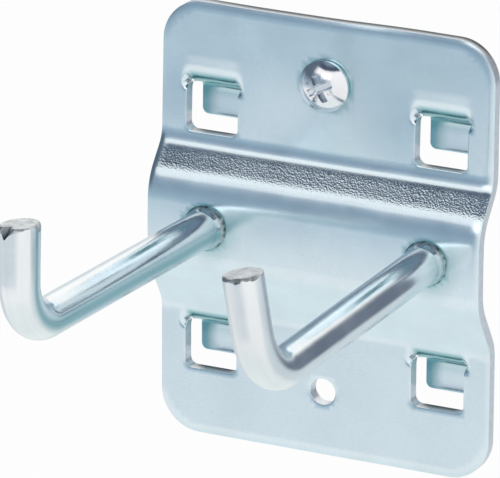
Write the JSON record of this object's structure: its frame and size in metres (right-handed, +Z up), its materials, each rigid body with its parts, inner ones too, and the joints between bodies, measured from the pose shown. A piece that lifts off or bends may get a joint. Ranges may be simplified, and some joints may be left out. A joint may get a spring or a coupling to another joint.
{
  "type": "double tool holder",
  "caption": "Zinc-plated holder that hangs on a perforated panel: stamped plate with a pressed bead and lanced tongues, welded wire hooks with upturned ends, locking screw.",
  "frame": {"origin": "middle of the plate, on the plane of the panel's front face that its flat zones lie on", "axes": "+Y into the panel, +Z up, +X to the right as seen from the front; the hooks stand out along -Y"},
  "size_m": [0.055, 0.072, 0.0688],
  "materials": {
    "zinc_sheet": "bright zinc plate with a blue cast, semi-gloss, fine grain",
    "zinc_wire": "bright zinc plate, glossy, faint drawing lines",
    "zinc_screw": "bright zinc plate, glossy"
  },
  "bodies": {
    "root": {"back_plate": "zinc_sheet", "left_hook": "zinc_wire", "right_hook": "zinc_wire", "locking_screw": "zinc_screw"}
  },
  "joints": []
}
